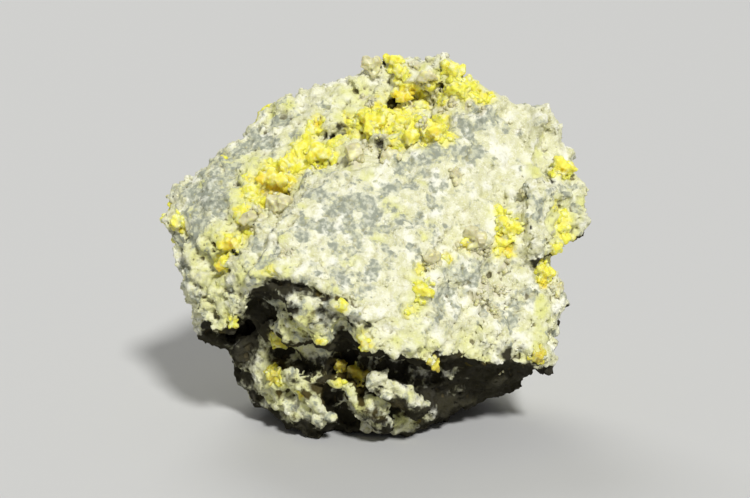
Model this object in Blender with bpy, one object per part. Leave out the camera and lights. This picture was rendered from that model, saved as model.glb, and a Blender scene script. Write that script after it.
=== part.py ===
"""A loose block of native sulfur ore: grey limestone under a cream sulfur crust, its hollows lined with
sulfur crystals and calcite grains. It rests on a broken flat on its underside.

Metres, +Z up, X to the right and Y to the back as the big front face is looked at. Corners, sizes and
places are written in millimetres from the middle of the underside, and MM turns them into metres. At the
end an empty seats the whole block on the ground, with the origin under its middle.
"""

import math
import random

import bmesh
import bpy
import numpy as np
from mathutils import Matrix, Vector, noise
from mathutils.bvhtree import BVHTree

MM = 0.001

# Driving dimensions, in millimetres.
GROUND = 0.6
SOCKET_GAP = 0.3
ROUGH_VOXEL = 2.0
SURFACE_VOXEL = 1.8
MATRIX_TRIANGLES = 3900
SWELL = 0.9
LUMP_LENGTH = 24
LUMP_HEIGHT = 2.6
RIDGE_LENGTH = 13
RIDGE_HEIGHT = 1.5

# The convex chunks that the limestone broke into, each as the corners of its hull.
CHUNKS = {
    "cap": [
        (-46, -52, 73), (-28, -38, 91), (-11, -22, 107), (17, -12, 115), (41, 0, 126), (-38, -57, 71),
        (-16, -62, 65), (-2, -64, 57), (9, -62, 45), (24, -58, 38), (47, -46, 33), (66, -30, 29),
        (70, -8, 37),
        (70, 6, 122), (51, 13, 129), (38, 15, 136), (10, 25, 141), (-16, 30, 135), (-45, 24, 123),
        (-65, 14, 108), (-74, 6, 99), (-80, -2, 84), (-77, -10, 63), (-70, -15, 50), (-51, -40, 48),
        (-68, 40, 60), (-54, 50, 98), (-16, 60, 118), (32, 56, 118), (64, 44, 102), (72, 30, 60),
        (40, 60, 40), (-30, 58, 40), (0, 66, 74),
    ],
    "foot": [
        (-60, -16, 36), (-62, -8, 31), (-58, -8, 21), (-52, -12, 13),
        (-48, -14, 15), (-39, -20, 6), (-30, -25, 0), (-5, -28, 0), (9, -30, 0), (20, -18, 0), (29, -8, 0),
        (44, -2, 9), (60, -6, 17), (66, -24, 30), (20, -38, 34), (-10, -38, 46), (-40, -28, 46), (-60, 0, 30),
        (-44, 26, 2), (-30, 42, 4), (-6, 46, 0), (18, 46, 2), (34, 30, 0), (48, 32, 16), (44, 46, 26),
        (-50, 34, 22), (-42, 46, 34), (40, 58, 44), (-30, 56, 44), (64, 20, 40), (2, 58, 30),
    ],
    "left_waist": [
        (-60, 4, 60), (-62, 4, 38), (-60, 10, 28), (-58, 34, 24), (-62, 36, 56), (-50, 48, 32), (-50, 48, 60),
        (-40, 8, 60), (-42, 4, 22), (-54, -10, 44),
    ],
    "right_waist": [
        (66, -4, 60), (65, 0, 38), (63, 32, 40), (66, 34, 62), (50, 50, 42), (50, 50, 64), (40, -4, 34),
        (40, 0, 62), (54, 10, 28),
    ],
    "crest": [
        (-7, 22, 139), (-1, 22, 145), (9, 22, 147), (19, 20, 145), (31, 12, 141), (38, 14, 135),
        (22, 2, 134), (33, 2, 131), (6, 8, 135), (0, 34, 136), (24, 34, 138), (36, 28, 131),
    ],
    "crest_tooth": [
        (22, 14, 149), (31, 12, 149), (35, 12, 143), (20, 6, 138), (34, 4, 136), (23, 22, 144), (32, 24, 142),
        (38, 13, 135), (38, 6, 130),
    ],
    "left_knob": [
        (-46, 20, 122), (-46, 25, 127), (-39, 28, 131), (-32, 28, 130), (-30, 22, 125), (-38, 14, 119),
        (-38, 34, 118),
    ],
    "left_corner": [
        (-85, 0, 93), (-84, -5, 82), (-82, -6, 77), (-75, 8, 100), (-68, -22, 84), (-66, -24, 66),
        (-78, -10, 62), (-70, 20, 82),
    ],
    "left_hip": [
        (-79, -10, 66), (-75, -14, 54), (-75, -14, 46), (-70, -12, 41), (-62, -16, 42), (-51, -42, 49),
        (-57, -38, 47), (-68, -32, 56), (-72, -28, 66), (-60, 10, 46), (-50, -20, 60), (-52, -46, 62),
    ],
    "left_spur": [
        (-76, -16, 48), (-74, -14, 39), (-71, -13, 31), (-66, -13, 32), (-58, -12, 33), (-61, -22, 44),
        (-64, -28, 50), (-68, 4, 42), (-58, 2, 34),
    ],
    "right_shoulder": [
        (70, 0, 125), (66, 6, 129), (56, 8, 129), (49, 10, 129), (60, -8, 119), (73, 6, 116), (60, 20, 123),
        (72, 14, 111),
    ],
    "right_flank": [
        (74, 6, 112), (79, 4, 106), (80, 0, 99), (68, -14, 100), (66, -16, 90), (76, 20, 100), (70, -4, 112),
    ],
    "right_knuckle": [
        (55, -22, 101), (66, -14, 103), (79, -4, 101), (85, -2, 96), (87, -4, 85), (85, -6, 76),
        (75, -12, 74), (64, -30, 78), (56, -34, 87), (60, -30, 70), (60, 0, 70), (74, 12, 86),
    ],
    "right_hip": [
        (68, -14, 61), (76, -10, 56), (77, -12, 50), (75, -14, 43), (71, -16, 37), (67, -24, 28),
        (58, -40, 47), (61, -32, 63), (66, 6, 50),
    ],
    "rib": [
        (-37, -44, 57), (-34, -47, 60), (-27, -54, 63), (-18, -58, 62), (-9, -60, 57), (-8, -58, 51),
        (-15, -56, 48), (-19, -50, 40), (-28, -45, 42), (-37, -40, 48), (-20, -20, 44), (-6, -24, 46),
    ],
    "heel": [
        (-47, -22, 25), (-39, -28, 28), (-29, -38, 24), (-24, -41, 21), (-15, -42, 16), (-17, -35, 7),
        (-27, -32, 8), (-37, -26, 10), (-47, -20, 16), (-30, 0, 20), (-14, 0, 8), (-30, -24, 2),
    ],
    "mid": [
        (-34, -36, 36), (-28, -41, 33), (-19, -45, 30), (-11, -47, 28), (-6, -48, 25), (-9, -43, 19),
        (-17, -41, 21), (-27, -37, 25), (-35, -32, 29), (-12, 0, 28),
    ],
    "toe": [
        (-9, -44, 20), (-1, -49, 23), (4, -49, 19), (10, -42, 10), (4, -38, 5), (-5, -38, 7), (-8, -43, 14),
        (2, 0, 14),
    ],
    "toe_ridge": [
        (-3, -51, 33), (4, -53, 32), (13, -52, 26), (22, -45, 19), (19, -41, 14), (9, -46, 19), (1, -48, 24),
        (6, 0, 26),
    ],
}

# Hollows that go under the cap or bite into an edge: centre and radii of an ellipsoid.
BITES = {
    "undercut": ((-37, -50, 60), (13, 13, 4)),
    "hollow": ((-45, -42, 49), (7, 15, 11)),
    "middle_vug": ((-12, -52, 36), (7, 11, 5)),
    "right_undercut": ((16, -54, 33), (11, 12, 4)),
    "cleft": ((-13, -46, 21), (5, 7, 3)),
    "toe_hollow": ((9, -50, 17), (6, 6, 2)),
    "right_notch": ((83, -6, 66), (10, 22, 7)),
    "shoulder_notch": ((77, -6, 116), (8, 12, 4)),
}

# Soft dents of the broken surface: centre, radius and depth. A negative depth is a swelling.
DENTS = [
    ((-40, -24, 96), 8, 5.0),
    ((-30, -12, 107), 8, 5.0),
    ((-20, -2, 115), 8, 6.0),
    ((-8, 4, 121), 8, 6.0),
    ((5, 2, 123), 9, 7.0),
    ((18, 4, 127), 9, 6.0),
    ((-52, -30, 82), 7, 3.5),
    ((27, -44, 60), 6, 2.0),
    ((12, -50, 62), 5, 1.5),
]


# Sulfur grows as rhombic dipyramids, calcite as rhombohedra. In units of the crystal's half length: its half
# widths, and the height at which the tip is broken off.
SULFUR_WIDTHS = (0.66, 0.80)
SULFUR_TIP = 0.62
CALCITE_WIDTH = 0.86
CALCITE_TIP = 0.5

# Crystals that grew together, as one solid each: where they root, the half length of the largest crystal,
# and how many there are.
SULFUR = {
    "crest_left": ((7, 19, 143), 4.0, 3),
    "crest_right": ((31, 8, 141), 4.8, 3),
    "band_top": ((19, -9, 119), 7.0, 5),
    "band_middle": ((-2, 7, 120), 5.6, 4),
    "band_back": ((10, 12, 129), 4.0, 3),
    "band_low": ((-22, -4, 109), 5.0, 4),
    "band_left": ((-40, -12, 100), 5.6, 4),
    "left_orange": ((-55, -34, 79), 4.2, 3),
    "left_small": ((-58, -37, 71), 3.2, 2),
    "left_edge": ((-77, -10, 82), 3.4, 2),
    "right_edge": ((73, -6, 104), 4.6, 3),
    "face_pocket": ((51, -24, 83), 4.6, 3),
    "face_low": ((18, -50, 64), 3.4, 3),
    "right_cavity": ((65, -20, 65), 4.4, 3),
    "hollow": ((-36, -30, 41), 4.8, 1),
    "cleft": ((-6, -36, 29), 3.8, 3),
    "cleft_small": ((-14, -35, 32), 3.0, 2),
    "heel": ((-40, -29, 27), 3.4, 2),
    "brow": ((22, -57, 38), 3.0, 2),
    "brow_right": ((61, -35, 36), 3.0, 2),
    "back_high": ((-6, 64, 96), 5.6, 4),
    "back_low": ((26, 60, 48), 4.6, 3),
    "back_left": ((-52, 50, 70), 5.0, 3),
    "right_back": ((76, 26, 84), 4.6, 3),
}
CALCITE = {
    "large": ((-8, -15, 110), 5.8, 1),
    "beside": ((5, -17, 110), 4.0, 2),
    "left": ((-37, -20, 91), 5.6, 2),
    "dark": ((-47, -29, 88), 3.8, 2),
    "crest": ((-3, 20, 142), 4.2, 2),
    "crest_grey": ((20, 9, 137), 4.0, 2),
    "face": ((31, -21, 103), 3.2, 1),
    "pocket": ((39, -31, 80), 4.4, 3),
    "pocket_low": ((20, -44, 76), 3.8, 2),
    "right": ((71, -16, 58), 3.2, 1),
    "back": ((-16, 62, 84), 5.4, 2),
    "left_back": ((-68, 26, 78), 4.6, 2),
}

# How far a crystal leans from upright on the surface, how wide the crystals spread round a root and how high
# their middles stand, in units of their size, and how much of their inner spheres' reach they may use.
LEAN = 0.6
CROWDING = 0.7
LIFT = 0.22
REACH = 0.95
GOLDEN_ANGLE = math.pi * (3 - math.sqrt(5))

# Colour (linear red, green, blue), roughness.
FINISHES = {
    "matrix": ((0.60, 0.60, 0.48), 0.9),
    "sulfur": ((0.84, 0.62, 0.03), 0.35),
    "calcite": ((0.50, 0.44, 0.33), 0.3),
}


def clear_scene():
    for obj in list(bpy.data.objects):
        bpy.data.objects.remove(obj)


def add_object(name, mesh):
    obj = bpy.data.objects.new(name, mesh)
    bpy.context.scene.collection.objects.link(obj)
    return obj


def applied(mesh, *modifiers):
    """The mesh after these modifiers, each given as its type and a dictionary of settings."""
    obj = add_object("in_work", mesh)
    for kind, settings in modifiers:
        mod = obj.modifiers.new(kind.lower(), kind)
        for key, value in settings.items():
            setattr(mod, key, value)
    graph = bpy.context.evaluated_depsgraph_get()
    made = bpy.data.meshes.new_from_object(obj.evaluated_get(graph))
    bpy.data.objects.remove(obj)
    return made


def hull_into(bm, corners):
    verts = [bm.verts.new(Vector(c) * MM) for c in corners]
    made = bmesh.ops.convex_hull(bm, input=verts)
    inner = [v for v in made["geom_interior"] if isinstance(v, bmesh.types.BMVert)]
    bmesh.ops.delete(bm, geom=inner, context="VERTS")


def ellipsoid_into(bm, centre, radii):
    place = Matrix.Translation(Vector(centre) * MM) @ Matrix.Diagonal((*(r * MM for r in radii), 1))
    bmesh.ops.create_icosphere(bm, subdivisions=3, radius=1, matrix=place)


def mesh_from(fill, shapes):
    bm = bmesh.new()
    for shape in shapes:
        fill(bm, *shape)
    mesh = bpy.data.meshes.new("shape")
    bm.to_mesh(mesh)
    bm.free()
    return mesh


def voxels(size):
    return "REMESH", {"mode": "VOXEL", "voxel_size": size * MM}


def coords(mesh):
    flat = np.empty(len(mesh.vertices) * 3, np.float32)
    mesh.vertices.foreach_get("co", flat)
    return flat.reshape(-1, 3).astype(float)


def normals(mesh):
    flat = np.empty(len(mesh.vertices) * 3, np.float32)
    mesh.vertices.foreach_get("normal", flat)
    return flat.reshape(-1, 3).astype(float)


def move_to(mesh, points):
    mesh.vertices.foreach_set("co", points.astype(np.float32).ravel())
    mesh.update()


def roughen(mesh):
    """Moves the smooth skin in and out along its normals, as the fracture left it."""
    points, out = coords(mesh), normals(mesh)
    shift = np.full(len(points), SWELL)
    for centre, radius, depth in DENTS:
        away = np.linalg.norm(points / MM - np.array(centre), axis=1) / radius
        shift -= depth * np.exp(-away ** 2)
    for i, point in enumerate(points):
        at = Vector(point) / MM
        lumps = noise.fractal(at / LUMP_LENGTH, 1.0, 2.0, 3)
        ridges = noise.ridged_multi_fractal(at / RIDGE_LENGTH, 1.0, 2.0, 2, 1.0, 2.0) - 1.2
        shift[i] += LUMP_HEIGHT * lumps + RIDGE_HEIGHT * ridges
    move_to(mesh, points + out * (shift * MM)[:, None])


def rings(levels):
    """Corners of a solid made of level rings, each (height, [(x, y), ...])."""
    return [(x, y, height) for height, outline in levels for x, y in outline]


def sulfur_corners():
    wide, deep = SULFUR_WIDTHS
    rhomb = [(wide, 0), (0, deep), (-wide, 0), (0, -deep)]
    tip = [(x * (1 - SULFUR_TIP), y * (1 - SULFUR_TIP)) for x, y in rhomb]
    return rings([(-SULFUR_TIP, tip), (0, rhomb), (SULFUR_TIP, tip)])


def calcite_corners():
    """Three edges run from each tip to the near corners of a zigzag girdle, and each tip is broken off."""
    def triangle(turn, radius):
        angles = [turn + i * math.tau / 3 for i in range(3)]
        return [(radius * math.cos(a), radius * math.sin(a)) for a in angles]
    near = 1 / 3
    blunt = CALCITE_TIP + (1 - CALCITE_TIP) * near
    levels = []
    for side, turn in ((1, 0), (-1, math.pi / 3)):
        levels.append((side * near, triangle(turn, CALCITE_WIDTH)))
        levels.append((side * blunt, triangle(turn, CALCITE_WIDTH * (1 - CALCITE_TIP))))
    return rings(levels)


def inner_radius(corners):
    """How far the nearest face of a convex solid lies from its middle."""
    bm = bmesh.new()
    hull = bmesh.ops.convex_hull(bm, input=[bm.verts.new(c) for c in corners])
    faces = [f for f in hull["geom"] if isinstance(f, bmesh.types.BMFace)]
    nearest = min(abs(f.normal.dot(f.verts[0].co)) for f in faces)
    bm.free()
    return nearest


def crystals(name, root, size, count, inner, surface):
    """Places of crystals that crowd round a root, each as its size and its matrix, in millimetres.

    No crystal stands further from its nearest neighbour than their inner spheres reach, so that all of them
    run into one solid.
    """
    chance = random.Random(name)
    root, out, _, _ = surface.find_nearest(Vector(root) * MM)
    across = out.orthogonal().normalized()
    placed = []
    for i in range(count):
        own_size = size if i == 0 else size * chance.uniform(0.7, 0.95)
        turn = Matrix.Rotation(GOLDEN_ANGLE * i, 3, out)
        spot = root + turn @ across * (CROWDING * size * math.sqrt(i) * MM)
        spot, away, _, _ = surface.find_nearest(spot)
        lean = Vector([chance.uniform(-LEAN, LEAN) for _ in range(3)])
        axis = (away + lean).normalized()
        spin = Matrix.Rotation(chance.uniform(0, math.tau), 4, "Z")
        centre = spot / MM + away * own_size * LIFT
        if placed:
            near_size, near = min(placed, key=lambda other: (other[1].translation - centre).length)
            gap = centre - near.translation
            centre = near.translation + gap * min(1, REACH * inner * (own_size + near_size) / gap.length)
        stance = axis.to_track_quat("Z", "Y").to_matrix().to_4x4()
        placed.append((own_size, Matrix.Translation(centre) @ stance @ spin))
    return placed


def stand(corners, size, place):
    return [place @ (Vector(c) * size) for c in corners]


def joined(solids):
    """One mesh of convex solids that run into each other, each given by its corners."""
    first, *rest = [mesh_from(hull_into, [(corners,)]) for corners in solids]
    others = [add_object("other", mesh) for mesh in rest]
    mesh = applied(first, *(("BOOLEAN", {"operation": "UNION", "object": other}) for other in others))
    for other in others:
        bpy.data.objects.remove(other)
    return largest_body(mesh)


def largest_body(mesh):
    """The mesh without the slivers that a cut leaves loose."""
    bm = bmesh.new()
    bm.from_mesh(mesh)
    bodies, waiting = [], set(bm.verts)
    while waiting:
        body, edge = set(), [waiting.pop()]
        while edge:
            vert = edge.pop()
            body.add(vert)
            near = {e.other_vert(vert) for e in vert.link_edges} & waiting
            waiting -= near
            edge.extend(near)
        bodies.append(body)
    keep = max(bodies, key=len)
    bmesh.ops.delete(bm, geom=[v for v in bm.verts if v not in keep], context="VERTS")
    bm.to_mesh(mesh)
    bm.free()
    return mesh


def material(name, kind):
    colour, roughness = FINISHES[kind]
    mat = bpy.data.materials.new(name)
    mat.use_nodes = True
    shader = mat.node_tree.nodes["Principled BSDF"]
    shader.inputs["Base Color"].default_value = (*colour, 1)
    shader.inputs["Roughness"].default_value = roughness
    shader.inputs["Metallic"].default_value = 0
    return mat


def add_piece(name, kind, mesh, parent):
    mesh.materials.clear()
    mesh.materials.append(material(name, kind))
    obj = add_object(name, mesh)
    obj.parent = parent
    return obj


def rough_block():
    chunks = mesh_from(hull_into, [(c,) for c in CHUNKS.values()])
    body = applied(chunks, voxels(ROUGH_VOXEL))
    bites = add_object("bites", mesh_from(ellipsoid_into, BITES.values()))
    body = applied(body, ("BOOLEAN", {"operation": "DIFFERENCE", "object": bites, "use_self": True}),
                   voxels(SURFACE_VOXEL), ("SMOOTH", {"factor": 0.5, "iterations": 2}))
    bpy.data.objects.remove(bites)
    roughen(body)
    body = applied(body, voxels(SURFACE_VOXEL))
    return applied(body, ("DECIMATE", {"ratio": MATRIX_TRIANGLES / (2 * len(body.polygons))}))


def underground():
    """Corners of a box that takes away all below the ground."""
    return [(x, y, z) for x in (-150, 150) for y in (-150, 150) for z in (-50, GROUND)]


def main():
    clear_scene()
    block = bpy.data.objects.new("block", None)
    bpy.context.scene.collection.objects.link(block)
    body = rough_block()
    surface = BVHTree.FromPolygons([v.co for v in body.vertices], [p.vertices for p in body.polygons])
    cutters = [underground()]
    pieces = []
    habits = (("sulfur", sulfur_corners(), SULFUR), ("calcite", calcite_corners(), CALCITE))
    for kind, corners, roots in habits:
        inner = inner_radius(corners)
        for name, (root, size, count) in roots.items():
            placed = crystals(name, root, size, count, inner, surface)
            mesh = joined([stand(corners, own, place) for own, place in placed])
            cutters += [stand(corners, own + SOCKET_GAP / inner, place) for own, place in placed]
            pieces.append(add_piece(f"{kind}_{name}", kind, mesh, block))
    sockets = add_object("sockets", mesh_from(hull_into, [(c,) for c in cutters]))
    body = applied(body, ("BOOLEAN", {"operation": "DIFFERENCE", "object": sockets, "use_self": True}))
    bpy.data.objects.remove(sockets)
    pieces.append(add_piece("matrix", "matrix", largest_body(body), block))
    corners = np.concatenate([coords(piece.data) for piece in pieces])
    middle = (corners.min(axis=0) + corners.max(axis=0)) / 2
    block.location = (-middle[0], -middle[1], -GROUND * MM)


main()
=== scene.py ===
import math

import bmesh
import bpy
import numpy as np
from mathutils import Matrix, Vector, noise
from mathutils.bvhtree import BVHTree
from mathutils.kdtree import KDTree


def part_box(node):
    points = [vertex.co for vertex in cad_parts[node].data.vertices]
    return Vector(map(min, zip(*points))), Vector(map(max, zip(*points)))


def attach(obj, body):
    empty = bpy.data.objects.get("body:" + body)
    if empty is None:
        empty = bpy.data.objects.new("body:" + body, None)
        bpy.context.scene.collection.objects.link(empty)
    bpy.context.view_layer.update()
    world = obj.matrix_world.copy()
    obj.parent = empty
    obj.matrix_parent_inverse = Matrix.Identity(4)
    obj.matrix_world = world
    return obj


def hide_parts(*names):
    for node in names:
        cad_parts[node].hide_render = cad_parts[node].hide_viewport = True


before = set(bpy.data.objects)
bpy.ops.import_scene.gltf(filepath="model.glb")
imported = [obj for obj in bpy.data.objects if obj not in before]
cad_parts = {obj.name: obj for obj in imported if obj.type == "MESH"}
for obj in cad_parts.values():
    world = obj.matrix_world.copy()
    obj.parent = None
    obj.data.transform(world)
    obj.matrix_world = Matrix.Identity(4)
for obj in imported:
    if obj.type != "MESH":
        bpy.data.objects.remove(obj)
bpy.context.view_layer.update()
scene = bpy.context.scene

# ---- The camera ------------------------------------------------------------------------------------------
# A specimen is looked at from in front of its best face and a little above, close enough that the block
# fills the frame and far enough that its edges aren't drawn out.
MM = 0.001
FRAME_WIDTH = 750
FRAME_HEIGHT = 498
LENS = 75
SENSOR = 36
LOOK_AT = Vector((-1.0, -2.8, 69.4)) * MM
DISTANCE = 623 * MM
ELEVATION = math.radians(12)

TO_CAMERA = Vector((0, -math.cos(ELEVATION), math.sin(ELEVATION)))
camera = bpy.data.objects.new("camera", bpy.data.cameras.new("camera"))
camera.data.lens = LENS
camera.data.sensor_width = SENSOR
camera.location = LOOK_AT + TO_CAMERA * DISTANCE
camera.rotation_euler = (-TO_CAMERA).to_track_quat("-Z", "Y").to_euler()
scene.collection.objects.link(camera)
scene.camera = camera

# ---- The limestone block ---------------------------------------------------------------------------------
# A lump of grey limestone that was broken out of a sulfur bed. Sulfur-bearing water turned its skin to a
# cream crust, which has flaked off the grey stone in patches. It is one solid and stands on a broken flat.
# It is carved from the CAD solids: creases, lips and chipped facets first, then crust, pores and buds.
ROOT_VOXEL = 1.3  # remesh cells of the big shapes, in millimetres
SKIN_VOXEL = 0.62  # and of the skin
SKIN_TRIANGLES = 196000
PIXEL = 0.4  # what a pixel of the camera's frame covers on the block, in millimetres
FINE_VUG = 1.5  # vugs up to this radius are cut in the fine skin only
FAINT_SPOT = 4  # yellow spots up to this radius are a tint in the crust, without crystals
HIGHEST = 1.3  # how far the fine relief may stand out

# Creases and hollows go in (positive depth), lips and veins stand out. Each is a line over the block through
# points of the camera's frame, with its half width and its depth in millimetres.
CREASES = [
    ([(256, 296), (268, 285), (286, 283), (304, 288), (322, 296)], 3.3, 6.0),
    ([(322, 292), (340, 296), (356, 301)], 1.5, 2.4),
    ([(336, 317), (350, 322), (370, 328)], 1.6, 2.6),
    ([(262, 312), (272, 320)], 4.6, 4.5),
    ([(276, 354), (296, 359), (326, 364)], 3.2, 6.4),
    ([(338, 334), (345, 346), (346, 359)], 3.4, 5.6),
    ([(360, 352), (368, 360), (370, 372)], 2.0, 3.0),
    ([(276, 386), (285, 398)], 2.4, 3.6),
    ([(306, 377), (318, 386), (331, 396), (343, 408), (350, 424)], 4.2, 7.0),
    ([(384, 402), (392, 408), (402, 414)], 2.6, 3.0),
    ([(359, 396), (361, 410), (362, 424)], 1.6, 2.2),
    ([(386, 372), (402, 376), (424, 386), (446, 402)], 4.6, 4.6),
    ([(372, 368), (390, 371), (410, 368)], 2.2, 3.0),
    ([(400, 352), (404, 362), (412, 368)], 1.8, 2.4),
    ([(424, 354), (436, 355), (448, 359)], 2.2, 3.2),
    ([(458, 366), (476, 368), (494, 366)], 2.4, 3.0),
    ([(492, 354), (506, 353), (524, 357)], 3.0, 3.4),
    ([(506, 333), (498, 345), (489, 356)], 0.9, 1.6),
    ([(262, 296), (274, 304), (288, 304)], 1.4, 1.6),
    ([(308, 304), (318, 312), (330, 322)], 1.0, 1.4),
    ([(284, 318), (296, 332), (312, 346)], 1.2, 1.6),
    ([(380, 322), (396, 334), (414, 340)], 1.1, 1.4),
    ([(176, 231), (190, 242), (200, 256), (206, 266)], 1.5, 2.6),
    ([(204, 240), (216, 254), (236, 252)], 1.5, 3.2),
    ([(196, 262), (216, 274), (240, 266)], 1.4, 2.8),
    ([(206, 326), (214, 318), (224, 326), (232, 338)], 1.8, 2.6),
    ([(192, 326), (198, 324), (206, 328)], 1.4, 2.0),
    ([(212, 282), (226, 290), (238, 300)], 1.3, 2.6),
    ([(186, 280), (200, 292), (208, 306)], 1.2, 2.4),
    ([(226, 232), (240, 240), (252, 250)], 1.6, 2.4),
    ([(433, 190), (429, 214), (424, 240)], 0.8, 1.0),
    ([(272, 216), (262, 236), (248, 262)], 1.3, 1.8),
    ([(424, 268), (428, 284), (436, 298), (446, 306)], 1.6, 2.0),
    ([(484, 262), (494, 276), (500, 296)], 1.3, 1.6),
    ([(498, 218), (500, 236), (498, 252)], 1.4, 1.4),
    ([(552, 126), (547, 140), (544, 156), (540, 172)], 2.2, 2.0),
    ([(522, 184), (536, 179), (554, 180)], 1.6, 1.6),
    ([(521, 186), (526, 200), (530, 214)], 1.4, 0.7),
    ([(560, 200), (566, 212), (574, 208)], 1.2, 1.6),
    ([(556, 138), (562, 152)], 4.5, 1.4),
    ([(558, 240), (568, 235), (579, 229)], 2.4, 3.0),
    ([(544, 286), (550, 298), (560, 296)], 1.6, 1.8),
    ([(264, 112), (282, 113), (300, 110)], 1.8, 2.2),
    ([(216, 172), (232, 166), (246, 158)], 1.6, 1.4),
    ([(242, 232), (258, 208), (280, 188), (302, 166), (322, 158)], 5.0, 3.2),
    ([(340, 158), (366, 148), (392, 146), (420, 136), (444, 120)], 4.5, 2.9),
    ([(312, 126), (324, 135), (341, 128), (358, 131), (374, 140), (384, 148)], 2.4, 4.2),
    ([(392, 104), (400, 101), (414, 97), (426, 98), (438, 92)], 2.2, 4.0),
    ([(322, 158), (336, 152), (350, 140)], 2.0, 1.8),
    ([(382, 80), (392, 88), (404, 90)], 1.8, 1.8),
    ([(262, 190), (276, 192), (292, 184)], 2.0, 2.4),
    ([(428, 60), (427, 74), (432, 88)], 1.6, 2.0),
    ([(330, 150), (346, 141), (362, 140)], 1.4, 1.4),
    ([(452, 100), (466, 108), (480, 105)], 1.4, 1.2),
]
LIPS = [
    ([(247, 279), (270, 271), (300, 275), (332, 288), (352, 294)], 2.4, 1.6),
    ([(296, 304), (310, 318), (324, 338)], 6.0, 3.4),
    ([(336, 304), (346, 311)], 4.0, 2.2),
    ([(276, 328), (290, 343), (306, 352)], 2.2, 1.6),
    ([(274, 341), (284, 347)], 3.4, 2.6),
    ([(256, 382), (270, 400), (292, 416)], 2.6, 1.8),
    ([(296, 378), (312, 398), (334, 414)], 3.2, 2.4),
    ([(320, 377), (336, 381), (350, 384)], 1.8, 1.6),
    ([(369, 390), (374, 410), (388, 426)], 4.2, 2.8),
    ([(377, 380), (392, 388), (410, 398), (430, 408)], 4.2, 3.6),
    ([(364, 343), (380, 348), (398, 352)], 3.4, 3.8),
    ([(428, 367), (446, 368)], 2.0, 1.4),
    ([(456, 352), (478, 354)], 2.6, 1.2),
    ([(528, 346), (546, 360)], 3.4, 1.2),
    ([(252, 270), (268, 244), (288, 216), (304, 200), (322, 186), (344, 174)], 1.8, 2.1),
    ([(344, 174), (372, 172), (398, 155), (424, 148), (448, 138), (470, 118), (498, 104)], 1.8, 1.7),
    ([(300, 214), (286, 232), (270, 252), (252, 274)], 1.0, 0.8),
    ([(500, 104), (522, 102), (546, 106)], 1.8, 1.0),
    ([(430, 57), (444, 57), (456, 66), (460, 82)], 3.0, 1.4),
    ([(330, 96), (350, 84), (372, 76)], 3.4, 1.4),
    ([(268, 98), (284, 97)], 3.0, 2.6),
    ([(182, 190), (200, 172), (218, 160)], 3.0, 1.4),
    ([(206, 216), (222, 206), (236, 192)], 2.6, 1.2),
    ([(560, 172), (574, 180)], 3.0, 1.4),
    ([(548, 108), (538, 124), (534, 150), (529, 175)], 1.6, 1.4),
    ([(536, 192), (552, 194), (570, 194)], 4.0, 1.8),
    ([(578, 208), (583, 222)], 3.0, 1.2),
    ([(555, 114), (560, 128)], 5.0, 2.2),
    ([(564, 290), (568, 302), (566, 316)], 5.0, 2.2),
]
# Vugs: small open holes, each with its place in the frame, its radius and its depth.
VUGS = [
    (417, 98, 1.8, 3.2), (396, 100, 1.3, 2.6), (380, 145, 2.0, 3.2), (345, 127, 1.6, 2.8),
    (361, 132, 1.1, 2.0), (330, 133, 1.8, 2.8), (322, 138, 1.2, 2.2), (367, 97, 0.7, 1.2),
    (410, 86, 1.8, 1.8), (255, 212, 2.2, 2.4), (284, 182, 1.4, 1.6), (205, 244, 1.0, 1.8),
    (228, 253, 1.3, 2.0), (450, 283, 1.4, 2.2), (440, 279, 1.0, 1.8), (425, 270, 1.0, 1.8),
    (421, 285, 0.9, 1.4), (448, 296, 0.9, 1.6), (489, 275, 1.2, 1.8), (500, 243, 1.0, 1.8),
    (500, 295, 0.9, 1.4), (441, 320, 1.1, 1.6), (377, 215, 0.6, 1.0), (377, 220, 0.5, 0.8),
    (505, 240, 3.2, 1.2), (543, 275, 4.2, 3.4), (566, 168, 3.0, 1.8), (564, 226, 2.4, 2.4),
    (347, 362, 2.4, 2.4), (252, 330, 4.0, 2.0), (480, 100, 1.6, 1.2), (312, 148, 1.6, 1.2),
    (231, 250, 2.2, 1.2), (222, 268, 2.0, 1.0), (476, 247, 4.2, 1.2), (492, 270, 3.4, 1.0),
    (552, 130, 2.0, 1.4), (400, 362, 2.6, 2.0), (196, 210, 0.6, 0.8), (209, 201, 0.5, 0.8),
    (310, 375, 2.0, 1.2), (521, 344, 2.6, 2.0),
]
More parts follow.
